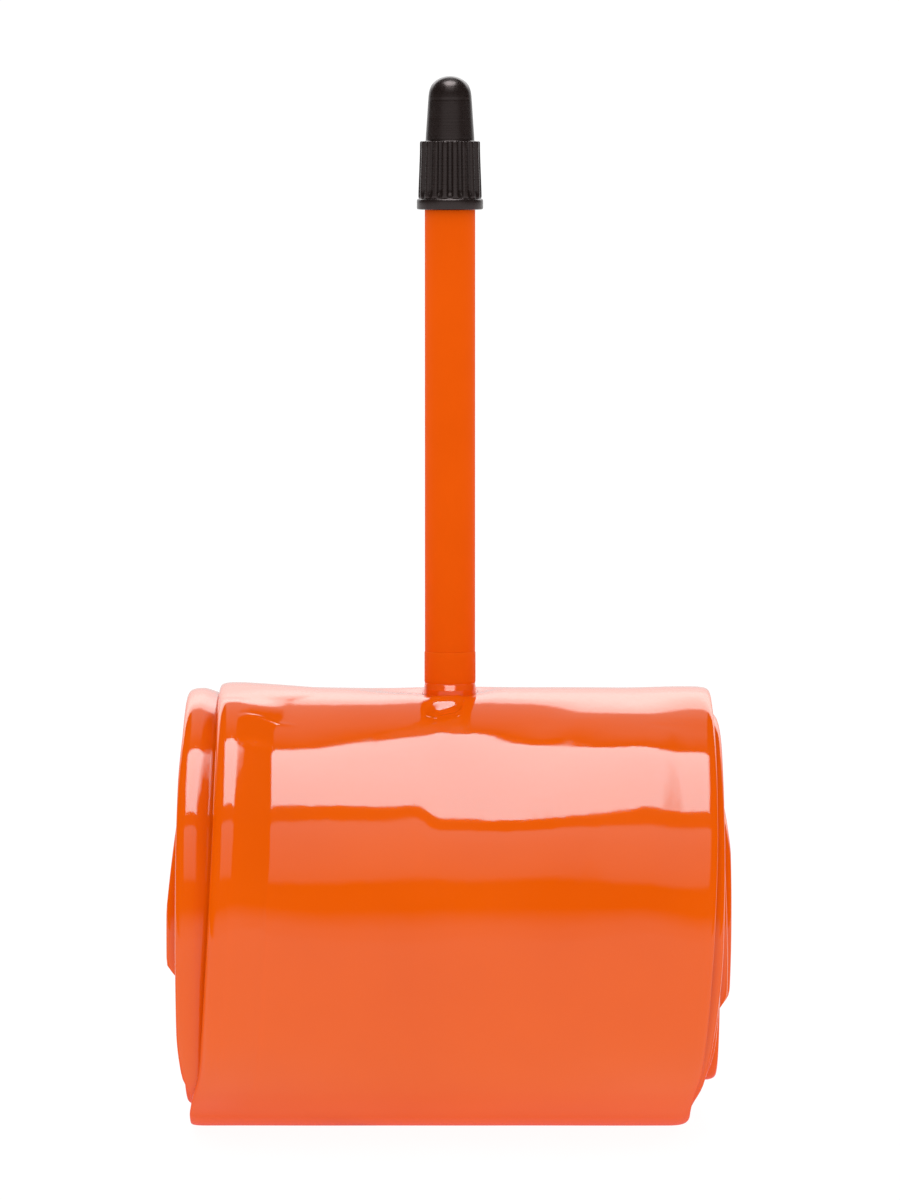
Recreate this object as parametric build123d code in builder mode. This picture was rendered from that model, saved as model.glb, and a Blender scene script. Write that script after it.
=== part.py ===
from build123d import *
import math
import os

os.makedirs("parts", exist_ok=True)

# Rolled-up bicycle inner tube of thin thermoplastic film, with its long Presta-pattern valve.
# The tube is a closed ring of flat film tubing. The ring is laid double and the doubled band is
# wound into a roll, so every turn of the roll is two flat layers: A on the outside, B inside it.
# Frame: X along the roll's axis, +Z up along the valve, the roll rests on z = 0 and the valve's
# axis is x = 0, y = 0. Millimetres.

# ---- roll ----
flat_width = 60.0        # width of the flattened tubing
pitch = 2.3              # radial advance of the doubled band in one turn
layer_t = 0.8            # one flattened layer: two films and the air between them
layer_gap = 0.15         # between layer A and layer B of the same turn
sag = 0.15               # share by which the roll's underside is flattened by its weight
r_top = 28.53            # spiral radius at the top, where the valve stands
phi_start = 30.0         # the outer fold lies here, degrees from +Y towards +Z
phi_end = 30.0 + 360.0 * 10 + 210.0   # the inner fold
y_centre = 0.575         # puts the roll's depth evenly about the valve
z_centre = (r_top - pitch / 2) * (1 - sag)

# ---- valve ----
stem_r = 3.0
stem_bore_r = 1.9
socket_r = 2.6           # spigot of the stem inside its foot
foot_top_z = 56.4
shoulder_z = 108.7       # top of the plastic stem
cap_z = 109.0
cap_top_z = 124.8
core_head_r = 2.6        # 5.2 mm cap thread on the core's head
core_head_top_z = 114.6
thread_pitch = 1.058     # 24 threads per inch
patch_r = 11.0
patch_t = 0.35
flange_r = 4.8
flange_t = 0.3


def radius(phi):
    return r_top - pitch * (phi - 90.0) / 360.0


def shape(phi, side):
    """Unit support of the cross-section and its slope: round above, flattened below."""
    a = math.radians(phi)
    low = math.sin(a) < -1e-9
    if not low:
        return 1.0, 0.0
    c = math.cos(a)
    s = side if abs(c) < 1e-9 else (1 if c > 0 else -1)
    return 1 - sag + sag * abs(c), -s * sag * math.sin(a)


def wall(phi, depth, side=0):
    """Point of the spiral wall at normal angle phi, depth below the outer face of layer A."""
    h, dh = shape(phi, side)
    big_h = radius(phi) * h - depth
    slope = -pitch / (2 * math.pi) * h + radius(phi) * dh
    a = math.radians(phi)
    return (
        y_centre + big_h * math.cos(a) - slope * math.sin(a),
        z_centre + big_h * math.sin(a) + slope * math.cos(a),
    )


def stations(a, b):
    """Angles between a and b at which one arc of the wall ends and the next begins."""
    marks = [a]
    k = math.floor(a / 45.0) + 1
    while k * 45.0 < b - 1e-6:
        m = k * 45.0
        # the arc over the top of the outermost turn is kept whole under the patch
        if m > a + 1e-6 and abs(m - 90.0) > 1e-6:
            marks.append(m)
        k += 1
    marks.append(b)
    return marks


def wall_edges(a, b, depth):
    """Draws the wall from angle a to angle b inside the current BuildLine."""
    s = stations(a, b)
    for p, q in zip(s, s[1:]):
        ThreePointArc(
            wall(p, depth, side=1 if abs(p % 360 - 270) < 1e-6 else 0),
            wall((p + q) / 2, depth),
            wall(q, depth, side=-1 if abs(q % 360 - 270) < 1e-6 else 0),
        )
        if abs(q % 360 - 270) < 1e-6 and q < b - 1e-6:
            Line(wall(q, depth, side=-1), wall(q, depth, side=1))


def band_edges(a, b, d0, d1):
    """Closed outline of the band between depths d0 and d1, from angle a to angle b."""
    wall_edges(a, b, d0)
    Line(wall(b, d0), wall(b, d1))
    wall_edges(a, b, d1)
    Line(wall(a, d1), wall(a, d0))


def fold_edges(phi, sense):
    """Outline of the U-turn that joins layer A to layer B; sense says which way it points."""
    d = [0, layer_t, layer_t + layer_gap, 2 * layer_t + layer_gap]
    p = [wall(phi, x) for x in d]
    a = math.radians(phi)
    t = (math.sin(a) * sense, -math.cos(a) * sense)
    mid = ((p[0][0] + p[3][0]) / 2, (p[0][1] + p[3][1]) / 2)
    ro, ri = layer_t + layer_gap / 2, layer_gap / 2
    ThreePointArc(p[0], (mid[0] + t[0] * ro, mid[1] + t[1] * ro), p[3])
    Line(p[3], p[2])
    ThreePointArc(p[2], (mid[0] + t[0] * ri, mid[1] + t[1] * ri), p[1])
    Line(p[1], p[0])


# sideways shift of the two layers along X, by stretch of the spiral: the turns are telescoped
# from angle, to angle, shift of A, shift of B
stretches = [
    (phi_start, 420.0, 2.0, -2.0),
    (420.0, 1500.0, 3.0, -1.0),
    (1500.0, 2760.0, 1.0, -2.6),
    (2760.0, phi_end, 3.7, -3.8),
]

# film tube, flattened, laid double and rolled, with the recess and hole for the valve's foot
with BuildPart() as tube_roll:
    for a, b, shift_a, shift_b in stretches:
        with BuildSketch(Plane.YZ.offset(shift_a - flat_width / 2)):
            with BuildLine():
                band_edges(a, b, 0, layer_t)
            make_face()
        extrude(amount=flat_width)
        with BuildSketch(Plane.YZ.offset(shift_b - flat_width / 2)):
            with BuildLine():
                band_edges(a, b, layer_t + layer_gap, 2 * layer_t + layer_gap)
            make_face()
        extrude(amount=flat_width)
    for phi, sense in ((phi_start, 1), (phi_end, -1)):
        with BuildSketch(Plane.YZ.offset(-flat_width / 2)):
            with BuildLine():
                fold_edges(phi, sense)
            make_face()
        extrude(amount=flat_width)

# arc of the outermost layer over the top, between 45 and 135 degrees
q0, q1, q2 = wall(45, 0), wall(90, 0), wall(135, 0)
with BuildLine(Plane.YZ) as top_line:
    top_arc = ThreePointArc(q0, q1, q2)
top_r = top_arc.radius
top_c = top_arc.arc_center          # on the YZ plane

def shell_sketch(depth0, depth1):
    """Ring sector under the outer face over the valve's place, between two depths."""
    with Locations((top_c.Y, top_c.Z)):
        Circle(top_r - depth0)
        Circle(top_r - depth1, mode=Mode.SUBTRACT)


# round reinforcing patch, heat-welded into the outer film around the valve
with BuildPart() as reinforcing_patch:
    with BuildSketch(Plane.YZ):
        shell_sketch(0, patch_t)
    extrude(amount=patch_r + 1, both=True)
    with BuildSketch(Plane.XY.offset(z_centre)):
        Circle(patch_r)
        Circle(3.35, mode=Mode.SUBTRACT)
    extrude(amount=40, mode=Mode.INTERSECT)

# moulded foot of the valve: flange under the patch, root ring and socket for the stem
with BuildPart() as valve_foot:
    with BuildSketch(Plane.YZ):
        shell_sketch(patch_t, patch_t + flange_t)
    extrude(amount=flange_r + 1, both=True)
    with BuildSketch(Plane.XY.offset(z_centre)):
        Circle(flange_r)
    extrude(amount=40, mode=Mode.INTERSECT)
    with BuildSketch(Plane.XZ):
        with BuildLine():
            Polyline(
                (0, 51.25), (3.35, 51.25), (3.35, 52.35), (3.2, 52.75),
                (3.15, foot_top_z - 0.2), (3.0, foot_top_z), (0, foot_top_z), close=True,
            )
        make_face()
    revolve(axis=Axis.Z)
    with BuildSketch(Plane.XY.offset(45)):
        Circle(socket_r)
    extrude(amount=15, mode=Mode.SUBTRACT)

# the recesses are cut in the roll last
with BuildPart() as recess:
    with BuildSketch(Plane.YZ):
        shell_sketch(-0.4, patch_t)
    extrude(amount=patch_r + 1, both=True)
    with BuildSketch(Plane.XY.offset(z_centre)):
        Circle(patch_r)
    extrude(amount=40, mode=Mode.INTERSECT)
with BuildPart() as flange_recess:
    with BuildSketch(Plane.YZ):
        shell_sketch(patch_t - 0.1, patch_t + flange_t)
    extrude(amount=flange_r + 1, both=True)
    with BuildSketch(Plane.XY.offset(z_centre)):
        Circle(flange_r)
    extrude(amount=40, mode=Mode.INTERSECT)
stem_foot_z = top_c.Z + top_r - layer_t - 0.02
with tube_roll:
    add(recess.part, mode=Mode.SUBTRACT)
    add(flange_recess.part, mode=Mode.SUBTRACT)
    with BuildSketch(Plane.XY.offset(stem_foot_z - 0.08)):
        Circle(socket_r)
    extrude(amount=3, mode=Mode.SUBTRACT)

# rigid plastic valve stem
with BuildPart() as valve_stem:
    with BuildSketch(Plane.XZ):
        with BuildLine():
            Polyline(
                (stem_bore_r, stem_foot_z), (socket_r, stem_foot_z), (socket_r, foot_top_z),
                (stem_r, foot_top_z), (stem_r, shoulder_z - 0.25),
                (stem_r - 0.25, shoulder_z), (2.4, shoulder_z), (2.4, 100.5),
                (stem_bore_r, 100.2), close=True,
            )
        make_face()
    revolve(axis=Axis.Z)

# brass bush moulded into the top of the stem, which the core screws into
with BuildPart() as threaded_insert:
    with BuildSketch(Plane.XZ):
        with BuildLine():
            Polyline(
                (1.95, 100.5), (2.4, 100.5), (2.4, 102.3), (2.2, 102.5), (2.2, 103.0), (2.4, 103.2),
                (2.4, 105.2), (2.2, 105.4), (2.2, 105.9), (2.4, 106.1), (2.4, shoulder_z),
                (1.95, shoulder_z), close=True,
            )
        make_face()
    revolve(axis=Axis.Z)

# sealing ring under the core's head
with BuildPart() as core_gasket:
    with BuildSketch(Plane.XY.offset(shoulder_z)):
        Circle(2.5)
        Circle(1.95, mode=Mode.SUBTRACT)
    extrude(amount=0.3)

# removable valve core: head with the cap thread and two spanner flats, shank, tail and seat
with BuildPart() as core_body:
    with BuildSketch(Plane.XZ):
        with BuildLine():
            Polyline(
                (1.2, 94.7), (1.5, 94.5), (1.5, 101.4), (1.93, 101.7), (1.93, 109.0),
                (2.28, 109.0), (2.28, core_head_top_z - 0.35), (1.95, core_head_top_z),
                (1.0, core_head_top_z), (1.0, 112.6), (1.2, 112.4), close=True,
            )
        make_face()
    revolve(axis=Axis.Z)
    # cap thread
    with BuildLine():
        helix = Helix(thread_pitch, 4.2, 2.24, center=(0, 0, 109.5))
    with BuildSketch(Plane(origin=helix @ 0, x_dir=(1, 0, 0), z_dir=helix % 0)):
        with BuildLine():
            Polyline((0, -0.42), (core_head_r - 2.24, -0.07), (core_head_r - 2.24, 0.07), (0, 0.42), close=True)
        make_face()
    sweep(path=helix, is_frenet=True)
    # spanner flats
    with BuildSketch(Plane.XY.offset(110.9)):
        with Locations((0, 3.15), (0, -3.15)):
            Rectangle(8, 2)
    extrude(amount=5, mode=Mode.SUBTRACT)

# plunger pin of the core
with BuildPart() as core_pin:
    with BuildSketch(Plane.XZ):
        with BuildLine():
            Polyline(
                (0, 92.3), (1.0, 92.3), (1.3, 92.6), (1.3, 93.1), (0.85, 93.2), (0.85, 111.0),
                (0.95, 111.3), (0.95, 119.3), (0.7, 119.7), (0, 119.7), close=True,
            )
        make_face()
    revolve(axis=Axis.Z)

# rubber seal on the pin's foot, which closes the core's lower end
with BuildPart() as pin_seal:
    with BuildSketch(Plane.XZ):
        with BuildLine():
            Polyline((0.85, 93.2), (1.3, 93.2), (1.45, 93.5), (1.45, 94.45), (0.85, 94.45), close=True)
        make_face()
    revolve(axis=Axis.Z)

# knurled lock nut on the pin
with BuildPart() as lock_nut:
    with BuildSketch(Plane.XZ):
        with BuildLine():
            Polyline(
                (0.97, 114.65), (1.45, 114.65), (1.5, 115.2), (1.85, 115.4), (1.85, 116.9),
                (1.65, 117.1), (0.97, 117.1), close=True,
            )
        make_face()
    revolve(axis=Axis.Z)
    with BuildSketch(Plane.XY.offset(115.35)):
        with PolarLocations(1.97, 20):
            Circle(0.2)
    extrude(amount=2, mode=Mode.SUBTRACT)

# dust cap: tapered nose, ribbed skirt, foot ring, thread bore and cavity over the pin
with BuildPart() as dust_cap:
    with BuildSketch(Plane.XZ):
        with BuildLine():
            Polyline((0, cap_top_z), (0, 109.0), (3.9, 109.0), (3.9, 110.15), (3.72, 110.25))
            Polyline((3.72, 110.25), (3.4, 110.3), (3.4, 110.6), (3.4, 116.9), (3.2, 117.1), (2.87, 117.1), (2.58, 122.3))
            Spline((2.58, 122.3), (2.3, 123.65), (1.3, 124.6), (0, cap_top_z), tangents=[(-0.055, 1), (-1, 0)])
        make_face()
    revolve(axis=Axis.Z)
    # ribs of the grip, trimmed to a slight draft and chamfered at the top
    with BuildSketch(Plane.XY.offset(110.6)):
        with PolarLocations(3.4, 18):
            RectangleRounded(0.76, 0.62, 0.2)
    extrude(amount=6.5)
    with BuildSketch(Plane.XZ):
        with BuildLine():
            Polyline((3.72, 110.3), (3.62, 116.6), (3.3, 117.1), (5, 117.1), (5, 110.3), close=True)
        make_face()
    revolve(axis=Axis.Z, mode=Mode.SUBTRACT)
    # bore over the core's head, then the cavity over the nut and pin
    with BuildSketch(Plane.XZ):
        with BuildLine():
            Polyline(
                (0, 108.5), (2.95, 108.5), (2.95, 109.0), (2.66, 109.4), (2.66, 115.0), (2.15, 115.4),
                (2.08, 119.4), (1.9, 122.3), (1.2, 123.3), (0, 123.5), close=True,
            )
        make_face()
    revolve(axis=Axis.Z, mode=Mode.SUBTRACT)

pieces = {
    "tube_roll": tube_roll, "reinforcing_patch": reinforcing_patch, "valve_foot": valve_foot,
    "valve_stem": valve_stem, "threaded_insert": threaded_insert, "core_gasket": core_gasket,
    "core_body": core_body, "core_pin": core_pin, "pin_seal": pin_seal, "lock_nut": lock_nut,
    "dust_cap": dust_cap,
}
for name, piece in pieces.items():
    piece.part.label = name
    export_step(piece.part, f"parts/{name}.step")
    b = piece.part.bounding_box()
    print(name, len(piece.part.solids()), round(piece.part.volume, 2), b.min, b.max)
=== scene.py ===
import bpy
import math
import numpy as np
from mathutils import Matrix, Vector


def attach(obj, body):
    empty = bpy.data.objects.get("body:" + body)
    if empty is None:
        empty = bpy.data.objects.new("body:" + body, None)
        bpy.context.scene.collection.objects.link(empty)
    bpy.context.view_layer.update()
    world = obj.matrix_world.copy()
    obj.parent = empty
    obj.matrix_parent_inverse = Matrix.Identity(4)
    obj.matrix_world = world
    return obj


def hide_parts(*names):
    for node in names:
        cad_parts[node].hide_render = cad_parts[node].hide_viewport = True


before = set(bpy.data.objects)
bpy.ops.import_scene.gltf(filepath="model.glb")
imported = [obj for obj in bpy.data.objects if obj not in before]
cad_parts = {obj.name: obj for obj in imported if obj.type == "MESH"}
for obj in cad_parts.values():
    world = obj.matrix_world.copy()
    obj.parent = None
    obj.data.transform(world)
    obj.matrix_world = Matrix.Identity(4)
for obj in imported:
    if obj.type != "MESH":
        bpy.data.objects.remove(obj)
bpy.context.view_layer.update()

MM = 0.001
scene = bpy.context.scene
rng = np.random.default_rng(11)


# ---------------------------------------------------------------- helpers
def smooth(t):
    t = np.clip(t, 0.0, 1.0)
    return t * t * (3 - 2 * t)


def gauss(v, centre, width):
    return np.exp(-((v - centre) / width) ** 2)


def mesh_object(name, verts, faces, materials):
    """verts in millimetres"""
    me = bpy.data.meshes.new(name)
    me.from_pydata((np.asarray(verts) * MM).tolist(), [], faces)
    me.validate()
    me.update()
    me.polygons.foreach_set("use_smooth", [True] * len(me.polygons))
    o = bpy.data.objects.new(name, me)
    scene.collection.objects.link(o)
    for m in materials:
        me.materials.append(m)
    return o


def lathe(name, profile, segments, materials, radial=None, closed=True):
    """Turns a closed (r, z) profile about Z. radial(i, angle) scales the radius of profile point i."""
    n = len(profile)
    ang = np.linspace(0, 2 * math.pi, segments, endpoint=False)
    verts = []
    for i, (r, z) in enumerate(profile):
        rr = np.full(segments, r) if radial is None else radial(i, ang, r)
        verts.append(np.stack([rr * np.cos(ang), rr * np.sin(ang), np.full(segments, z)], 1))
    verts = np.concatenate(verts)
    faces = []
    for i in range(n if closed else n - 1):
        j = (i + 1) % n
        for k in range(segments):
            m = (k + 1) % segments
            faces.append((i * segments + k, j * segments + k, j * segments + m, i * segments + m))
    return mesh_object(name, verts, faces, materials)


def rounded(points, radius, steps=5):
    """Rounds the corners of a closed (r, z) outline."""
    out = []
    n = len(points)
    for i in range(n):
        p = np.array(points[i], float)
        a = np.array(points[i - 1], float) - p
        b = np.array(points[(i + 1) % n], float) - p
        la, lb = np.linalg.norm(a), np.linalg.norm(b)
        rad = radius[i] if isinstance(radius, (list, tuple)) else radius
        d = min(rad, la * 0.45, lb * 0.45)
        if d < 1e-4:
            out.append(tuple(p))
            continue
        p0, p1 = p + a / la * d, p + b / lb * d
        for k in range(steps + 1):
            t = k / steps
            out.append(tuple((1 - t) ** 2 * p0 + 2 * t * (1 - t) * p + t * t * p1))
    return out


# ---------------------------------------------------------------- materials
def new_material(name):
    m = bpy.data.materials.new(name)
    m.use_nodes = True
    nt = m.node_tree
    nt.nodes.clear()
    out = nt.nodes.new("ShaderNodeOutputMaterial")
    bsdf = nt.nodes.new("ShaderNodeBsdfPrincipled")
    nt.links.new(bsdf.outputs["BSDF"], out.inputs["Surface"])
    coord = nt.nodes.new("ShaderNodeTexCoord")
    return m, nt, bsdf, coord


def noise(nt, coord, scale, detail=3.0, stretch=None, rough=0.5):
    tex = nt.nodes.new("ShaderNodeTexNoise")
    tex.inputs["Scale"].default_value = scale
    tex.inputs["Detail"].default_value = detail
    tex.inputs["Roughness"].default_value = rough
    if stretch:
        mp = nt.nodes.new("ShaderNodeMapping")
        mp.inputs["Scale"].default_value = stretch
        nt.links.new(coord.outputs["Object"], mp.inputs["Vector"])
        nt.links.new(mp.outputs["Vector"], tex.inputs["Vector"])
    else:
        nt.links.new(coord.outputs["Object"], tex.inputs["Vector"])
    return tex


def ramp(nt, source, stops):
    r = nt.nodes.new("ShaderNodeValToRGB")
    r.color_ramp.elements[0].position, r.color_ramp.elements[0].color = stops[0][0], (*stops[0][1], 1)
    r.color_ramp.elements[1].position, r.color_ramp.elements[1].color = stops[-1][0], (*stops[-1][1], 1)
    for pos, col in stops[1:-1]:
        e = r.color_ramp.elements.new(pos)
        e.color = (*col, 1)
    nt.links.new(source, r.inputs["Fac"])
    return r


def span(nt, source, low, high):
    r = nt.nodes.new("ShaderNodeMapRange")
    r.inputs["From Min"].default_value = 0.3
    r.inputs["From Max"].default_value = 0.7
    r.inputs["To Min"].default_value = low
    r.inputs["To Max"].default_value = high
    nt.links.new(source, r.inputs["Value"])
    return r


def bump(nt, bsdf, heights):
    """heights: list of (output socket, strength, distance in metres), coarsest first"""
    last = None
    for source, strength, distance in heights:
        b = nt.nodes.new("ShaderNodeBump")
        b.inputs["Strength"].default_value = strength
        b.inputs["Distance"].default_value = distance
        nt.links.new(source, b.inputs["Height"])
        if last:
            nt.links.new(last.outputs["Normal"], b.inputs["Normal"])
        last = b
    nt.links.new(last.outputs["Normal"], bsdf.inputs["Normal"])


def film_material():
    m, nt, bsdf, coord = new_material("tube_film_orange")
    cloud = noise(nt, coord, 55.0, 3.0)
    col = ramp(nt, cloud.outputs["Fac"], [(0.3, (0.835, 0.1020, 0.0003)), (0.7, (0.875, 0.1120, 0.0006))])
    nt.links.new(col.outputs["Color"], bsdf.inputs["Base Color"])
    smudge = noise(nt, coord, 120.0, 4.0)
    rg = span(nt, smudge.outputs["Fac"], 0.045, 0.075)
    nt.links.new(rg.outputs["Result"], bsdf.inputs["Roughness"])
    bsdf.inputs["IOR"].default_value = 1.5
    bsdf.inputs["Specular Tint"].default_value = (0.35, 0.90, 1.0, 1.0)
    ripple = noise(nt, coord, 420.0, 2.0, (1.0, 0.55, 0.55))
    grain = noise(nt, coord, 2600.0, 2.0)
    bump(nt, bsdf, [(ripple.outputs["Fac"], 0.22, 0.0001), (grain.outputs["Fac"], 0.10, 0.00002)])
    return m


def moulded_material(name, dark, light, rough, level, grain_scale, grain, lines=0.0):
    m, nt, bsdf, coord = new_material(name)
    cloud = noise(nt, coord, 160.0, 4.0)
    col = ramp(nt, cloud.outputs["Fac"], [(0.3, dark), (0.7, light)])
    nt.links.new(col.outputs["Color"], bsdf.inputs["Base Color"])
    fine = noise(nt, coord, grain_scale, 3.0)
    rg = span(nt, fine.outputs["Fac"], rough * 0.88, rough * 1.12)
    nt.links.new(rg.outputs["Result"], bsdf.inputs["Roughness"])
    bsdf.inputs["IOR"].default_value = 1.5
    bsdf.inputs["Specular IOR Level"].default_value = level
    heights = [(fine.outputs["Fac"], grain, 0.00003)]
    if lines:
        turned = noise(nt, coord, 900.0, 2.0, (0.02, 0.02, 5.0))
        heights.append((turned.outputs["Fac"], lines, 0.00004))
    bump(nt, bsdf, heights)
    return m


def metal_material(name, dark, light, rough):
    m, nt, bsdf, coord = new_material(name)
    cloud = noise(nt, coord, 700.0, 4.0)
    col = ramp(nt, cloud.outputs["Fac"], [(0.3, dark), (0.7, light)])
    nt.links.new(col.outputs["Color"], bsdf.inputs["Base Color"])
    bsdf.inputs["Metallic"].default_value = 1.0
    turned = noise(nt, coord, 900.0, 3.0, (0.15, 0.15, 6.0))
    rg = span(nt, turned.outputs["Fac"], rough * 0.8, rough * 1.25)
    nt.links.new(rg.outputs["Result"], bsdf.inputs["Roughness"])
    bump(nt, bsdf, [(turned.outputs["Fac"], 0.25, 0.00003)])
    return m


film = film_material()
stem_plastic = moulded_material("valve_plastic_orange", (0.815, 0.0960, 0.0003), (0.845, 0.1015, 0.0006), 0.48, 0.03, 1500.0, 0.10)
foot_plastic = moulded_material("foot_plastic_orange", (0.815, 0.0880, 0.0003), (0.845, 0.0930, 0.0006), 0.14, 0.42, 1500.0, 0.03)
cap_plastic = moulded_material("cap_plastic_black", (0.0118, 0.0072, 0.0062), (0.0146, 0.0092, 0.0082), 0.27, 0.49, 1800.0, 0.16, 0.20)
for n in cap_plastic.node_tree.nodes:
    if n.type == "BSDF_PRINCIPLED":
        n.inputs["Specular Tint"].default_value = (1.0, 0.87, 0.87, 1)
brass = metal_material("brass_turned", (0.60, 0.40, 0.13), (0.72, 0.50, 0.20), 0.24)
nickel = metal_material("nickel_plated_brass", (0.60, 0.585, 0.55), (0.70, 0.68, 0.64), 0.20)
rubber = moulded_material("seal_rubber_black", (0.012, 0.012, 0.012), (0.024, 0.023, 0.022), 0.62, 0.4, 1600.0, 0.35)


# ---------------------------------------------------------------- the rolled tube
pitch, layer_t, layer_gap, sag, r_top = 2.3, 0.8, 0.15, 0.15, 28.53
phi_start, phi_end = 30.0, 3840.0
y_centre = 0.575
z_centre = (r_top - pitch / 2) * (1 - sag)
film_half = 0.31           # half the thickness of the two films pressed together
a_depth = 0.31             # depth of layer A's middle below the wall
b_depth = 1.36             # and of layer B's


def radius(phi):
    return r_top - pitch * (phi - 90.0) / 360.0


def wall(phi, depth):
    """Point of the spiral wall at normal angle phi (degrees from +Y towards +Z)."""
    a = np.radians(phi)
    s, c = np.sin(a), np.cos(a)
    low = s < -1e-9
    h = np.where(low, 1 - sag + sag * np.abs(c), 1.0)
    dh = np.where(low, -np.where(c > 0, 1.0, -1.0) * sag * s, 0.0)
    big = radius(phi) * h - depth
    slope = -pitch / (2 * math.pi) * h + radius(phi) * dh
    return y_centre + big * c - slope * s, z_centre + big * s + slope * c


def table(phi, points):
    """Smooth interpolation through (angle, value) points that never overshoots them."""
    xs, ys = np.array(points, float).T
    rise = np.diff(ys) / np.diff(xs)
    a, b = rise[:-1], rise[1:]
    m = np.zeros(len(xs))
    m[0], m[-1] = rise[0], rise[-1]
    m[1:-1] = np.where(a * b > 0, 2 * a * b / np.where(a + b == 0, 1, a + b), 0)
    i = np.clip(np.searchsorted(xs, phi) - 1, 0, len(xs) - 2)
    t = np.clip((phi - xs[i]) / (xs[i + 1] - xs[i]), 0, 1)
    d = xs[i + 1] - xs[i]
    return ((2 * t**3 - 3 * t**2 + 1) * ys[i] + (t**3 - 2 * t**2 + t) * d * m[i]
            + (-2 * t**3 + 3 * t**2) * ys[i + 1] + (t**3 - t**2) * d * m[i + 1])


ARC = 28.2 * math.pi / 180          # millimetres of film per degree


def summed(points):
    """Height table (angle, mm) whose slopes (angle, mm per mm) are given, so that it bends smoothly."""
    grid = np.arange(points[0][0], points[-1][0] + 0.25, 0.25)
    slope = table(grid, points)
    return grid, np.concatenate([[0.0], np.cumsum((slope[1:] + slope[:-1]) / 2) * 0.25 * ARC])


def lookup(phi, grid_height):
    return np.interp(phi, grid_height[0], grid_height[1])


BAND_X = [(-24.0, 0.0), (-19.0, 0.11), (-14.0, 0.34), (-9.0, 0.62), (-5.0, 0.85), (-1.0, 1.0), (4.0, 0.89), (9.0, 0.69),
          (14.0, 0.46), (19.0, 0.21), (23.5, 0.0)]
BAND = summed([(90, 0.0), (95, -0.02), (98, -0.055), (102, -0.07), (106, -0.08), (110, -0.110), (114, -0.150), (118, -0.160),
               (122, -0.135), (126, -0.096), (130, -0.066), (134, -0.048), (138, -0.042), (144, -0.042), (150, -0.036),
               (160, -0.02), (175, 0.0), (190, 0.045), (222, 0.085), (240, 0.0)])
TURN = summed([(104, 0.0), (112, -0.010), (120, -0.034), (126, -0.024), (134, -0.004), (142, 0.0), (190, 0.006), (235, 0.003)])
STEP_UP = summed([(136, 0.0), (140, 0.025), (144, 0.052), (148, 0.040), (152, 0.010), (157, -0.004), (230, -0.004)])
STEP_DOWN = summed([(133, 0.0), (138, -0.022), (143, -0.038), (148, -0.020), (154, 0.0), (170, 0.004), (230, 0.004)])
CREST = summed([(101.5, 0.0), (104.5, 0.030), (108, 0.080), (111, 0.105), (113, 0.090), (115.5, 0.030), (119, 0.0), (126, -0.020),
                (140, -0.012),
                (160, -0.002), (235, -0.001)])
SHOULDER = summed([(114, 0.0), (120, 0.036), (128, 0.040), (140, 0.026), (150, 0.012), (165, 0.0), (200, -0.01), (235, -0.01)])
EVEN = summed([(110, 0.0), (114, 0.030), (117, 0.052), (122, 0.050), (127, 0.0), (132, -0.010), (145, -0.008), (165, 0.0), (235, 0.0)])
EVEN_X = [(-24.0, 0.0), (-16.0, 0.22), (-10.0, 0.55), (-4.0, 0.35), (2.0, 0.12), (8.0, 0.0), (15.0, 0.40), (22.0, 0.90), (28.0, 0.70)]
DROP = [(98, 0.0), (109, 0.35), (114, 0.60), (120, 0.92), (126, 1.0), (140, 1.0), (155, 0.8), (178, 0.3), (235, 0.0)]
WAVES = [(rng.uniform(0, 2 * math.pi), rng.uniform(0, 2 * math.pi), rng.uniform(0.10, 0.42), int(rng.integers(2, 11))) for _ in range(14)]


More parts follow.
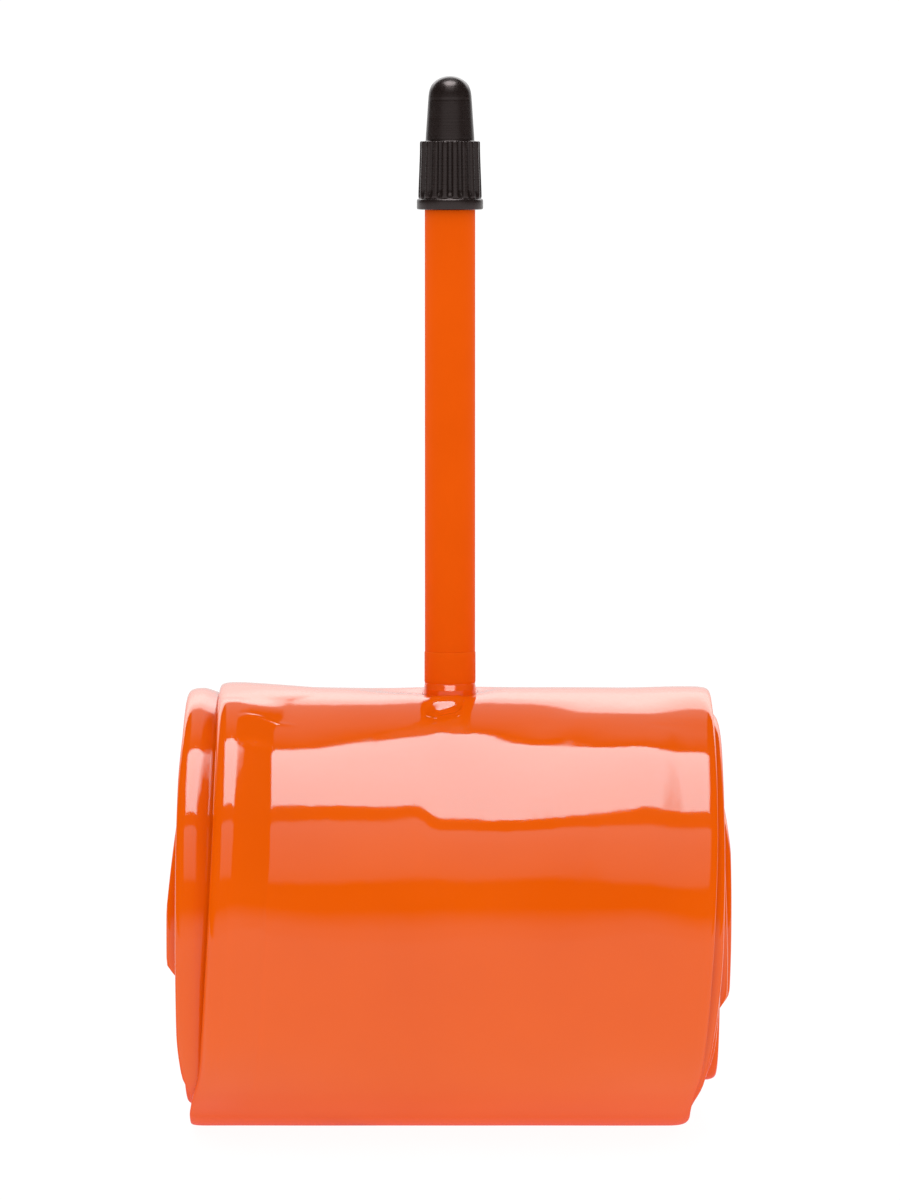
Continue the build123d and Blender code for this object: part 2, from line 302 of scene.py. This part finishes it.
def relief(x, phi, depth):
    """Outward displacement of the wound film (mm) at width x, angle phi and depth into the roll."""
    th = np.mod(phi, 360.0)
    th = np.where(th > 330.0, th - 360.0, th)
    d = np.zeros(np.broadcast(x, th).shape)
    # the puffed edges make the ends of the roll thicker than its middle
    top = table(th, [(-30, 0.5), (20, 0.8), (60, 1.0), (140, 1.0), (180, 0.6), (235, 0.0), (300, 0.0), (330, 0.5)])
    d = d + top * (0.42 * smooth((-14.0 - x) / 11.0) * 0.56 + 0.16 * smooth((x - 20.0) / 8.0) - 0.04)
    # flatter, stiffer band in front of the valve
    body = 1 - smooth((th - 205.0) / 50.0)
    d = d + body * table(x, BAND_X) * lookup(th, BAND)
    sharp = smooth((x + 4.4) / 3.4) * smooth((25.0 - x) / 22.0)
    d = d + body * sharp * lookup(th, STEP_UP)
    d = d + body * smooth((x + 25.0) / 18.0) * smooth((-1.0 - x) / 3.4) * lookup(th, STEP_DOWN)
    d = d + body * lookup(th, TURN)
    # fuller shoulders either side of it
    near = 1 - smooth((th - 114.0) / 10.0)
    d = d + body * (smooth((x - 9.5) / 6.5) * near + smooth((x - 2.0) / 19.0) * (1 - near)) * lookup(th, CREST)
    d = d + body * smooth((x - 1.0) / 22.0) * lookup(th, SHOULDER)
    d = d + body * table(x, EVEN_X) * lookup(th, EVEN)
    # the film drops towards its right-hand edge, most sharply near the top
    d = d - 0.76 * smooth((x - 21.8) / 7.4) * table(th, DROP)
    d = d - 0.030 * gauss(x, 25.3, 1.3) * gauss(th, 118.4, 0.9)       # a small dent
    # the film is drawn down round the valve's foot
    arc = (th - 88.8) * math.pi / 180 * 28.2
    rho = np.sqrt(x * x + arc * arc)
    d = d - 0.55 * gauss(rho, 2.6, 2.4) * smooth((arc + 2.6) / 3.6)
    d = d - 0.42 * gauss(x, -6.2, 3.4) * gauss(arc, 0.8, 2.6)
    # low fold under the front of the foot, and the pucker that runs off it to the left
    d = d + 0.17 * gauss(x, 0.6, 3.2) * table(th, [(98, 0.0), (104, 0.5), (110, 1.0), (116, 1.0), (134, 0.0)])
    u = th - (98.9 + 0.9 * np.clip(0.9 - x, -0.6, 3.6))
    pucker = table(u, [(-2.6, 0.0), (-0.4, 0.24), (0.3, 0.20), (5.3, -0.80), (6.1, -0.84), (9.0, -0.40), (12.5, 0.0)])
    d = d + pucker * smooth((x + 3.2) / 1.4) * smooth((1.75 - x) / 1.0)
    # fine wrinkle across the top of the left-hand edge
    fold = table(x, [(-26.0, 118.6), (-24.6, 117.3), (-23.6, 116.1), (-22.0, 115.7), (-20.3, 116.2), (-18.4, 116.8)])
    d = d + (0.066 + 0.05 * smooth((-21.0 - x) / 2.5)) * gauss(th, fold, 0.62) * smooth((x + 25.2) / 1.2) * smooth((-17.8 - x) / 2.0)
    # slow waviness of the wound film
    w = np.zeros(d.shape)
    for p, q, k, m in WAVES:
        w = w + np.sin(k * x + p) * np.sin(np.radians(th) * m + q)
    free = smooth((th + 20) / 30) * smooth((245.0 - th) / 20) + smooth((th - 300) / 20)
    d = d + 0.015 * w * np.clip(free, 0.15, 1)
    return d * np.exp(-(depth / 7.0) ** 2)


A_SHIFT = [(30, 1.1), (60, 1.45), (90, 1.75), (130, 1.85), (150, 1.75), (170, 1.4), (185, 1.0), (200, 0.6),
           (219, 0.0), (232, -0.9), (245, -1.4), (270, -1.5), (300, -0.8), (330, 0.2), (360, 1.4), (395, 1.8),
           (450, 1.75), (458, 1.9), (466, 2.5), (480, 2.7), (510, 2.65), (540, 2.35), (570, 1.35), (590, 0.45), (605, -0.5), (630, -1.0), (670, -0.2),
           (720, 1.6), (760, 2.2), (900, 2.2), (935, 1.8), (958, 0.8), (985, 0.2), (1030, 0.9), (1080, 2.0), (1120, 2.1)]
B_SHIFT = [(30, -1.9), (90, -2.1), (115, -2.15), (135, -2.45), (155, -2.5), (180, -2.5), (205, -2.5), (222, -2.1), (234, -1.2), (250, -1.2),
           (280, -1.1), (330, -1.7), (380, -2.0), (760, -1.8)]


def edges(layer, phi):
    """Left and right edge of a layer of flattened tube at angle phi, in mm."""
    turn = (phi - 30.0) / 360.0
    wob = 0.22 * math.sin(2.1 * turn + 0.6) + 0.16 * math.sin(0.83 * turn * 2 * math.pi + 1.0)
    z = float(wall(phi, 0.9)[1])
    r = radius(phi)
    if layer == "A":
        s = float(table(min(phi, 1120.0), A_SHIFT)) + wob * float(smooth((phi - 1120) / 300))
        xl, xr = s - 29.3, s + 29.3 + 0.45 * float(gauss(phi, 248.0, 14.0))
        if r < 17.5:
            out = 1.5 * np.clip((42.0 - z) / 9.0, 0, 1) ** 0.6 * smooth((z - 14.2) / 3.4) * smooth((17.5 - r) / 1.2)
            xr += float(out)
    else:
        s = float(table(min(phi, 760.0), B_SHIFT)) + wob * float(smooth((phi - 760) / 300))
        xl, xr = s - 29.3, s + 29.3
        if r < 20.6:
            out = 1.9 * np.clip((44.5 - z) / 17.0, 0, 1) ** 0.8 * smooth((z - 18.0) / 3.2) * smooth((20.6 - r) / 1.0)
            xl -= float(out)
    return xl, xr


# profile of the straight-sided ramp between a puffed edge and the flat film
RAMP_T = np.linspace(0, 1, 101)
RAMP_V = np.concatenate([[0], np.cumsum(smooth((RAMP_T[1:] - 0.005) / 0.16) * smooth((1.005 - RAMP_T[1:]) / 0.13))])
RAMP_V /= RAMP_V[-1]


def ramp_fall(t):
    return np.interp(t, RAMP_T, RAMP_V)


# samples across one film: nose, ramp, middle, ramp, nose (angles or fractions)
def film_samples(fine):
    nose = np.radians([6, 16, 28, 42, 56, 72, 89.99] if not fine else [3, 7, 12, 18, 25, 33, 42, 52, 62, 71, 80, 89.99])
    ramp_n = 5 if not fine else 20
    mid_n = 12 if not fine else 104
    if fine:                    # closer together in front of the valve
        u = np.linspace(0, 1, 401)
        run = np.cumsum(1 + 2.4 * gauss(u, 0.43, 0.075))
        middle = np.interp((np.arange(mid_n - 1) + 1) / mid_n, (run - run[0]) / (run[-1] - run[0]), u)
    else:
        middle = (np.arange(mid_n - 1) + 1) / mid_n
    return nose, (np.arange(ramp_n) + 1) / ramp_n, middle


def film_points(xl, xr, left, right, fine):
    """x and n of one film. left, right: (nose width, crest height, ramp length, tip height); flat level is film_half."""
    nose, rp, md = film_samples(fine)
    (al, hl, ll, el), (ar, hr, lr, er) = left, right
    full = 2 / 2.8             # squarer than an ellipse
    x = [xl + al * (1 - np.cos(nose) ** full), xl + al + ll * rp]
    n = [el + (hl - el) * np.sin(nose) ** full, film_half + (hl - film_half) * (1 - ramp_fall(rp))]
    x0, x1 = xl + al + ll, xr - ar - lr
    x += [x0 + (x1 - x0) * md, (xr - ar - lr * rp[::-1]), xr - ar * (1 - np.cos(nose[::-1]) ** full)]
    n += [np.full(len(md), film_half), film_half + (hr - film_half) * (1 - ramp_fall(rp[::-1])),
          er + (hr - er) * np.sin(nose[::-1]) ** full]
    return np.concatenate(x), np.concatenate(n)


def section(layer, phi, fine):
    """Closed cross-section: tip left, outward film left to right, tip right, inward film right to left.
    Returns x and the height n along the roll's outward normal."""
    xl, xr = edges(layer, phi)
    if layer == "A" and phi < 400.0:
        rise = float(table(phi, [(30, 0.75), (70, 0.55), (96, 0.35), (105, 0.62), (111, 1.15), (118, 1.25), (150, 1.25),
                                 (205, 1.10), (226, 0.50), (242, 0.0), (290, 0.0), (315, 0.6), (380, 0.6), (400, 0.3)]))
        run = float(table(phi, [(30, 6.0), (80, 9.0), (97, 11.0), (105, 7.2), (113, 6.4), (120, 5.0), (400, 4.7)]))
        keep = float(smooth((400.0 - phi) / 30.0))
        out_l = (1.9, film_half + rise * keep, run + 0.2, -0.05)
        out_r = (2.3, film_half, 1.5, -0.35)
        in_l = (1.6, 0.42, 2.0, 0.05)
        in_r = (1.6, 0.85, 2.2, 0.35)
    elif layer == "A":
        fat = 0.92
        out_l, in_l = (0.9, 0.42, 1.5, 0.0), (0.9, 0.42, 1.5, 0.0)
        out_r, in_r = (1.75, fat, 2.3, 0.0), (1.75, fat, 2.3, 0.0)
    else:
        fat = 0.92 if phi > 400 else 0.98 + 0.10 * float(gauss(phi, 80.0, 20.0))
        press = float(smooth((abs(np.mod(phi, 360) - 265.0) - 15.0) / 30.0)) if phi < 400 else 1.0
        out_l, in_l = (1.9, film_half + (fat - film_half) * press, 2.7, 0.0), (1.9, 0.88, 1.9, 0.0)
        out_r, in_r = (0.9, 0.42, 1.5, 0.0), (0.9, 0.42, 1.5, 0.0)
    xo, no = film_points(xl, xr, out_l, out_r, fine)
    xi, ni = film_points(xl, xr, in_l, in_r, False)
    return (xl, out_l[3], xo, no, xr, out_r[3], xi[::-1], -ni[::-1])


def build_roll():
    verts, rings = [], []          # rings: list of (index array, fine flag)

    def add_ring(x, yz):
        start = len(verts)
        for a, b in zip(x, yz):
            verts.append((a, b[0], b[1]))
        return np.arange(start, start + len(x))

    def place(layer, phi, fine, lift=0.0):
        xl, el, xo, no, xr, er, xi, ni = section(layer, phi, fine)
        base = (a_depth if layer == "A" else b_depth)
        x = np.concatenate([[xl], xo, [xr], xi])
        n = np.concatenate([[el], no, [er], ni])
        cy, cz = wall(phi, base - lift)
        depth = r_top - radius(phi) + base
        a = math.radians(phi)
        d = relief(x, np.full(len(x), phi), depth)
        h = n + d
        return x, np.stack([cy + h * math.cos(a), cz + h * math.sin(a)], 1), len(xo)

    # layer A, inwards
    fine_phi = list(np.concatenate([np.arange(30.0, 86.0, 1.6), np.arange(86.0, 108.0, 0.7), np.arange(108.0, 117.0, 0.4),
                                    np.arange(117.0, 132.0, 0.8), np.arange(132.0, 396.0, 1.6)]))
    coarse = [396.0]
    while coarse[-1] < phi_end - 5:
        coarse.append(coarse[-1] + (3.6 if radius(coarse[-1]) > 10 else 5.0))
    coarse = [p for p in coarse if p < phi_end - 2] + [phi_end]
    for p in fine_phi:
        lift = 0.35 * math.exp(-((p - 30.0) / 9.0) ** 2)
        x, yz, k = place("A", p, True, lift)
        rings.append((add_ring(x, yz), True))
    for p in coarse:
        x, yz, k = place("A", p, False)
        rings.append((add_ring(x, yz), False))

    def turn_back(phi, lift, outer):
        """The fold where layer A becomes layer B: rings swing round half a circle."""
        xa, ya, _ = place("A", phi, False, lift)
        xb, yb, _ = place("B", phi, False)
        # layer B's section is mirrored, since its outward film continues layer A's inward film
        m = (len(xa) - 2) // 2
        order = np.concatenate([[0], np.arange(len(xa) - 1, m + 1, -1), [m + 1], np.arange(m, 0, -1)])
        xb, yb = xb[order], yb[order]
        a = math.radians(phi)
        nrm, tan = np.array([math.cos(a), math.sin(a)]), np.array([-math.sin(a), math.cos(a)])
        ca = np.array(wall(phi, a_depth - lift))
        cb = np.array(wall(phi, b_depth))
        mid, rad = (ca + cb) / 2, np.linalg.norm(ca - cb) / 2
        hA = (ya - ca) @ nrm
        hB = -((yb - cb) @ nrm)
        steps = np.linspace(0, 1, 9)[1:-1]
        seq = []
        for t in steps:
            beta = math.pi * t
            dirn = nrm * math.cos(beta) + tan * math.sin(beta) * (-1 if outer else 1)
            h = hA * (1 - t) + hB * t
            x = xa * (1 - t) + xb * t
            puff = 1 + 0.12 * math.sin(beta)
            seq.append((x, mid + dirn * (rad * puff + h[:, None])))
        return seq

    for x, yz in turn_back(phi_end, 0.0, False):
        rings.append((add_ring(x, yz), False))
    # layer B, back outwards
    b_phi = [p for p in coarse[::-1]] + list(np.arange(392.0, 30.5, -3.0)) + [30.0]
    for p in b_phi:
        x, yz, k = place("B", p, False)
        m = (len(x) - 2) // 2
        order = np.concatenate([[0], np.arange(len(x) - 1, m + 1, -1), [m + 1], np.arange(m, 0, -1)])
        rings.append((add_ring(x[order], yz[order]), False))
    for x, yz in turn_back(phi_start, 0.35, True)[::-1]:
        rings.append((add_ring(x, yz), False))

    # skin the rings; where a fine ring meets a coarse one the extra points join wider faces
    cn, cr, cm = [len(s) for s in film_samples(False)]
    fn, fr, fm = [len(s) for s in film_samples(True)]

    def coarse_key(count):
        """Positions along the outward film, 0..1 by part, to match rings of different counts."""
        nose, r, m = count
        key = [0.0]
        key += [1 + (i + 1) / nose for i in range(nose)]
        key += [2 + (i + 1) / r for i in range(r)]
        key += [3 + (i + 1) / (m + 1) for i in range(m)]
        key += [4 + i / r for i in range(r)]
        key += [5 + i / nose for i in range(nose)]
        key += [6.0]
        return np.array(key)

    kc, kf = coarse_key((cn, cr, cm)), coarse_key((fn, fr, fm))
    faces = []
    total = len(rings)
    for i in range(total):
        (ra, fa), (rb, fb) = rings[i], rings[(i + 1) % total]
        if fa == fb:
            n = len(ra)
            for k in range(n):
                m = (k + 1) % n
                faces.append((ra[k], ra[m], rb[m], rb[k]))
        else:
            big, small, flip = (ra, rb, False) if fa else (rb, ra, True)
            bo, so = len(kf), len(kc)
            # outward film: walk both rows together and drop triangles between them
            p = q = 0
            while p < bo - 1 or q < so - 1:
                if q == so - 1 or (p < bo - 1 and kf[p + 1] <= kc[q + 1]):
                    f = (big[p], big[p + 1], small[q])
                    p += 1
                else:
                    f = (big[p], small[q + 1], small[q])
                    q += 1
                faces.append(f[::-1] if flip else f)
            nb, ns = len(big), len(small)
            for k in range(ns - so + 1):
                a0, a1 = big[(bo - 1 + k) % nb], big[(bo + k) % nb]
                b0, b1 = small[(so - 1 + k) % ns], small[(so + k) % ns]
                f = (a0, a1, b1, b0)
                faces.append(f[::-1] if flip else f)
    faces = [tuple(int(v) for v in f) for f in faces]
    return mesh_object("rolled_tube_film", verts, faces, [film])


roll = build_roll()
import bmesh
bm = bmesh.new()
bm.from_mesh(roll.data)
bmesh.ops.recalc_face_normals(bm, faces=bm.faces)
bm.to_mesh(roll.data)
bm.free()
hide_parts("tube_roll")
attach(roll, "tube")


def skin(x, phi, height):
    """Point on the outermost film, height above it (mm)."""
    d = float(relief(np.array([x]), np.array([phi]), r_top - radius(phi) + a_depth)[0])
    h = film_half + d + height
    y, z = wall(phi, a_depth)
    a = math.radians(phi)
    return (x, float(y) + h * math.cos(a), float(z) + h * math.sin(a))


# ---------------------------------------------------------------- reinforcing patch, feathered into the film
def build_patch():
    cy = 88.8
    rad, rings, seg = 11.0, 26, 96
    top, low = [], []
    for i in range(rings + 1):
        rho = 3.2 + (rad - 3.2) * (i / rings)
        lift = 0.045 * max(0.0, 1 - (rho / rad) ** 2) ** 1.5 - 0.006
        for k in range(seg):
            a = 2 * math.pi * k / seg
            x, arc = rho * math.cos(a), rho * math.sin(a)
            phi = cy + math.degrees(arc / 28.2)
            top.append(skin(x, phi, lift))
            low.append(skin(x, phi, -0.05))
    verts = top + low
    n = (rings + 1) * seg
    faces = []
    for i in range(rings):
        for k in range(seg):
            m = (k + 1) % seg
            a, b, c, d = i * seg + k, i * seg + m, (i + 1) * seg + m, (i + 1) * seg + k
            faces.append((a, b, c, d))
            faces.append((n + d, n + c, n + b, n + a))
    for k in range(seg):
        m = (k + 1) % seg
        faces.append((k, n + k, n + m, m))
        e = rings * seg
        faces.append((e + m, n + e + m, n + e + k, e + k))
    return mesh_object("reinforcing_patch_film", verts, faces, [film])


patch = build_patch()
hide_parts("reinforcing_patch")
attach(patch, "tube")

# ---------------------------------------------------------------- moulded foot of the valve
foot_profile = rounded(
    [(2.62, 50.75), (4.6, 50.40), (4.75, 50.55), (3.5, 50.70), (3.14, 50.95), (3.10, 51.4), (3.10, 51.86), (3.02, 52.50),
     (3.02, 52.62), (3.055, 52.74), (3.05, 56.20), (2.97, 56.4), (2.62, 56.4)],
    [0.02, 0.05, 0.06, 0.15, 0.15, 0.2, 0.05, 0.05, 0.04, 0.05, 0.08, 0.03, 0.03], 6)


def foot_radial(i, ang, r):
    """The moulded lip stands out further at the front."""
    z = foot_profile[i][1]
    if r < 2.9 or r > 3.3:
        return np.full(len(ang), r)
    turn = np.abs(np.mod(ang + math.pi / 2 + math.pi, 2 * math.pi) - math.pi)
    lip = 0.50 * float(np.clip((52.50 - z) / 0.64, 0, 1))
    return r + lip * np.exp(-(turn / 0.60) ** 2)


foot = lathe("valve_foot_collar", foot_profile, 128, [stem_plastic, foot_plastic], foot_radial)
for face in foot.data.polygons:             # the moulded lip is polished, the collar above it satin
    if face.center.z < 0.05258:
        face.material_index = 1
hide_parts("valve_foot")
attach(foot, "tube")

# ---------------------------------------------------------------- stem
stem_profile = rounded(
    [(1.9, 50.7), (2.60, 50.7), (2.60, 56.4), (3.0, 56.4), (3.0, 108.98), (2.54, 108.98), (2.54, 108.68), (2.42, 108.60),
     (2.42, 100.5), (1.9, 100.2)],
    [0.02, 0.02, 0.02, 0.03, 0.06, 0.05, 0.02, 0.02, 0.03, 0.03], 5)
stem = lathe("valve_stem_tube", stem_profile, 96, [stem_plastic])
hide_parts("valve_stem")
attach(stem, "tube")

# ---------------------------------------------------------------- ribbed dust cap
ribs = 18
outer = [(0.02, 124.80), (0.45, 124.77), (0.85, 124.68), (1.25, 124.52), (1.62, 124.30), (1.95, 124.02), (2.20, 123.70),
         (2.38, 123.30), (2.49, 122.90), (2.55, 122.40), (2.575, 122.06), (2.572, 121.98), (2.59, 121.90), (2.60, 121.78),
         (2.64, 121.2), (2.70, 120.2), (2.77, 119.2), (2.83, 118.3), (2.87, 117.7), (2.89, 117.30), (2.90, 117.14), (2.94, 117.11)]
crown = [(3.12, 117.10), (3.34, 117.09), (3.50, 117.06), (3.55, 117.0), (3.565, 116.90), (3.575, 116.1)]
shaft = [(3.59, 115.4), (3.62, 114.6), (3.65, 113.8), (3.68, 113.0), (3.71, 112.2), (3.74, 111.4), (3.75, 111.1), (3.755, 110.9)]
tail = [(3.76, 110.7), (3.76, 110.52), (3.75, 110.42), (3.68, 110.36)]
ring = [(3.68, 110.30), (3.80, 110.28), (3.88, 110.22), (3.93, 110.10), (3.94, 109.9), (3.94, 109.2), (3.92, 109.10), (3.86, 109.03),
        (3.70, 109.0), (3.30, 109.0), (3.08, 109.0), (2.90, 109.02), (2.78, 109.1)]
bore = [(2.70, 109.4), (2.70, 115.0), (2.62, 115.14), (2.36, 115.2), (2.25, 115.32), (2.2, 115.6), (2.2, 120.2),
        (2.1, 120.7), (1.8, 121.1), (1.3, 121.35), (0.7, 121.47), (0.02, 121.5)]
bore_fine = []
for i in range(60):                       # moulded cap thread
    z = 109.4 + (115.0 - 109.4) * i / 59
    bore_fine.append((2.70, z))
profile = outer + crown + shaft + tail + ring + bore_fine + bore[2:]
i0, i1, i2 = len(outer), len(outer) + len(crown) + len(shaft), len(outer) + len(crown) + len(shaft) + len(tail)
b0 = i2 + len(ring)
b1 = b0 + len(bore_fine)


def cap_radial(i, ang, r):
    if i0 <= i < i2:
        wave = np.cos(ribs * ang)
        land = 1 / (1 + np.exp(-(wave + 0.05) * 5.5))
        land = (land - land.min()) / (land.max() - land.min())
        z = profile[i][1]
        root = min(3.16 + max(0.0, 116.1 - z) * 0.035 + 0.24 * float(smooth((111.15 - z) / 0.6)), r)
        return root + (r - root) * land
    if b0 <= i < b1:
        z = profile[i][1]
        f = np.sin((z / 1.058) * 2 * math.pi - ang)
        edge = float(smooth((z - 109.4) / 0.6) * smooth((115.0 - z) / 0.5))
        return r - 0.11 * edge * (0.5 + 0.5 * f) ** 2
    return np.full(len(ang), r)


cap = lathe("dust_cap_ribbed", profile, ribs * 14, [cap_plastic], cap_radial, closed=False)
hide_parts("dust_cap")
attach(cap, "cap")

# ---------------------------------------------------------------- carried-over CAD nodes
def dress(node, material):
    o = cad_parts[node]
    if o.material_slots:
        for s in o.material_slots:
            s.material = material
    else:
        o.data.materials.append(material)


dress("threaded_insert", brass)
dress("core_gasket", rubber)
dress("core_body", nickel)
dress("core_pin", brass)
dress("pin_seal", rubber)
dress("lock_nut", nickel)

# ---------------------------------------------------------------- floor, lights, camera
def floor_material():
    m, nt, bsdf, coord = new_material("studio_floor")
    cloud = noise(nt, coord, 3.0, 2.0)
    col = ramp(nt, cloud.outputs["Fac"], [(0.3, (0.058, 0.058, 0.058)), (0.7, (0.064, 0.064, 0.064))])
    nt.links.new(col.outputs["Color"], bsdf.inputs["Base Color"])
    bsdf.inputs["Roughness"].default_value = 0.9
    bsdf.inputs["Specular IOR Level"].default_value = 0.1
    bsdf.inputs["Emission Color"].default_value = (1, 1, 1, 1)
    pos = nt.nodes.new("ShaderNodeNewGeometry")
    split = nt.nodes.new("ShaderNodeSeparateXYZ")
    nt.links.new(pos.outputs["Position"], split.inputs[0])
    away = nt.nodes.new("ShaderNodeMath")
    away.operation = "ABSOLUTE"
    nt.links.new(split.outputs["Y"], away.inputs[0])
    near = nt.nodes.new("ShaderNodeMapRange")
    near.inputs["From Max"].default_value = 0.026
    nt.links.new(away.outputs[0], near.inputs["Value"])
    # painted contact shadow and painted orange bounce light: near the roll the floor's emission darkens and turns
    # orange, seen only by glossy rays
    painted_contact_shadow = ramp(nt, near.outputs["Result"], [                       # the roll's own contact shadow, as its film mirrors it
        (0.0, (0.75, 0.09, 0.08)), (0.46, (0.85, 0.17, 0.19)), (0.51, (0.88, 0.25, 0.30)), (0.61, (0.90, 0.38, 0.47)),
        (0.67, (0.91, 0.48, 0.57)), (0.73, (0.91, 0.64, 0.70)), (0.85, (0.91, 0.82, 0.84)), (1.0, (0.91, 0.91, 0.91))])
    ray = nt.nodes.new("ShaderNodeLightPath")
    glow = nt.nodes.new("ShaderNodeMix")
    glow.data_type = "RGBA"
    glow.inputs[6].default_value = (0.955, 0.955, 0.955, 1)
    nt.links.new(ray.outputs["Is Glossy Ray"], glow.inputs[0])
    nt.links.new(painted_contact_shadow.outputs["Color"], glow.inputs[7])
    nt.links.new(glow.outputs[2], bsdf.inputs["Emission Color"])
    bsdf.inputs["Emission Strength"].default_value = 1.0
    return m


fm = bpy.data.meshes.new("floor")
fm.from_pydata([(-8, -8, 0), (8, -8, 0), (8, 8, 0), (-8, 8, 0)], [], [(0, 1, 2, 3)])
floor = bpy.data.objects.new("floor", fm)
fm.materials.append(floor_material())
floor.location.z = -0.00002
scene.collection.objects.link(floor)


def area(name, centre, target, sx, sy, radiance, diffuse=True, glossy=True):
    d = bpy.data.lights.new(name, "AREA")
    d.shape, d.size, d.size_y = "RECTANGLE", sx, sy
    d.energy = radiance * math.pi * sx * sy
    o = bpy.data.objects.new(name, d)
    o.location = centre
    o.rotation_euler = (Vector(target) - Vector(centre)).to_track_quat("-Z", "Y").to_euler()
    o.visible_diffuse, o.visible_glossy = diffuse, glossy
    scene.collection.objects.link(o)
    return o


H = 0.65
y0, y1 = -0.338, 0.093
zs = 0.045
for i, wide_x in enumerate((0.36, 0.39, 0.42, 0.45, 0.48)):     # brighter towards its middle
    area(f"softbox_gloss_{i}", (0, (y0 + y1) / 2, zs + H + 0.001 * i), (0, (y0 + y1) / 2, 0), wide_x, y1 - y0, 1.85, diffuse=False)
area("softbox_fill", (0, (y0 + y1) / 2, zs + H), (0, (y0 + y1) / 2, 0), 0.42, y1 - y0, 0.4, glossy=False)

world = bpy.data.worlds.new("studio")
scene.world = world
world.use_nodes = True
wt = world.node_tree
wt.nodes.clear()
wout = wt.nodes.new("ShaderNodeOutputWorld")
coord = wt.nodes.new("ShaderNodeTexCoord")
sep = wt.nodes.new("ShaderNodeSeparateXYZ")
wt.links.new(coord.outputs["Generated"], sep.inputs[0])


def wmath(op, a, b=None):
    n = wt.nodes.new("ShaderNodeMath")
    n.operation = op
    for i, v in enumerate((a, b)):
        if v is None:
            continue
        if isinstance(v, (int, float)):
            n.inputs[i].default_value = v
        else:
            wt.links.new(v, n.inputs[i])
    return n.outputs[0]


def bands(stops):
    """Brightness of the room by angle above the front horizon: 0 in front, 90 overhead, 180 behind."""
    r = wt.nodes.new("ShaderNodeValToRGB")
    r.color_ramp.interpolation = "LINEAR"
    els = r.color_ramp.elements
    els[0].position, els[1].position = 0.0, 1.0
    for i, (deg, v) in enumerate(stops):
        e = els[0] if i == 0 else els[len(els) - 1] if i == len(stops) - 1 else els.new(deg / 180)
        e.position = deg / 180
        e.color = (v / 3, v / 3, v / 3, 1)
    wt.links.new(frac, r.inputs["Fac"])
    return r.outputs["Color"]


front = wmath("MULTIPLY", sep.outputs["Y"], -1.0)
frac = wmath("DIVIDE", wmath("ARCTAN2", sep.outputs["Z"], front), math.pi)
wide = bands([(0, 0.85), (5, 0.80), (14, 0.02), (180, 0.02)])
back = bands([(0, 0.0), (137, 0.0), (140, 2.1), (147, 2.5), (154, 2.0), (162, 1.25), (171, 0.80), (180, 0.60)])
low = bands([(0, 0.0), (27, 0.0), (30, 0.72), (36, 0.92), (46, 1.12), (56, 1.42), (57, 0.02), (102, 0.02), (103, 0.0), (180, 0.0)])
high = bands([(0, 0.0), (102, 0.0), (107, 0.30), (113, 0.52), (137, 0.72), (141, 0.0), (180, 0.0)])


def within(a, b, peak=3.0):
    """Peak within a of the middle plane, 0 beyond b."""
    n = wt.nodes.new("ShaderNodeMapRange")
    n.interpolation_type = "SMOOTHSTEP"
    n.inputs["From Min"].default_value, n.inputs["From Max"].default_value = a, b
    n.inputs["To Min"].default_value, n.inputs["To Max"].default_value = peak, 0.0
    wt.links.new(wmath("ABSOLUTE", sep.outputs["X"]), n.inputs["Value"])
    return n.outputs["Result"]


def background(strength, color=None):
    n = wt.nodes.new("ShaderNodeBackground")
    n.inputs["Color"].default_value = (1, 1, 1, 1)
    for value, socket in ((strength, n.inputs["Strength"]), (color, n.inputs["Color"])):
        if value is None:
            continue
        if isinstance(value, (int, float)):
            socket.default_value = value
        else:
            wt.links.new(value, socket)
    return n.outputs[0]


def choose(fac, a, b):
    n = wt.nodes.new("ShaderNodeMixShader")
    wt.links.new(fac, n.inputs["Fac"])
    wt.links.new(a, n.inputs[1])
    wt.links.new(b, n.inputs[2])
    return n.outputs[0]


def add(a, b):
    n = wt.nodes.new("ShaderNodeAddShader")
    wt.links.new(a, n.inputs[0])
    wt.links.new(b, n.inputs[1])
    return n.outputs[0]


room = add(add(background(within(0.50, 0.92), wide), background(within(0.55, 0.85, 4.1), back)), add(background(within(0.28, 0.40), low), background(within(0.16, 0.24), high)))
path = wt.nodes.new("ShaderNodeLightPath")
seen = choose(path.outputs["Is Camera Ray"], background(1.02), background(1.05))
wt.links.new(choose(path.outputs["Is Glossy Ray"], seen, room), wout.inputs["Surface"])

cam = bpy.data.cameras.new("camera")
cam.sensor_width = 36.0
cam.lens = 176.4
cam.clip_start, cam.clip_end = 0.01, 50.0
cam_o = bpy.data.objects.new("camera", cam)
cam_o.location = (0, -0.700, 0.120)
cam_o.rotation_euler = (math.radians(90 - 4.7), 0, 0)
scene.collection.objects.link(cam_o)
scene.camera = cam_o

scene.view_settings.view_transform = "Standard"
scene.view_settings.look = "None"
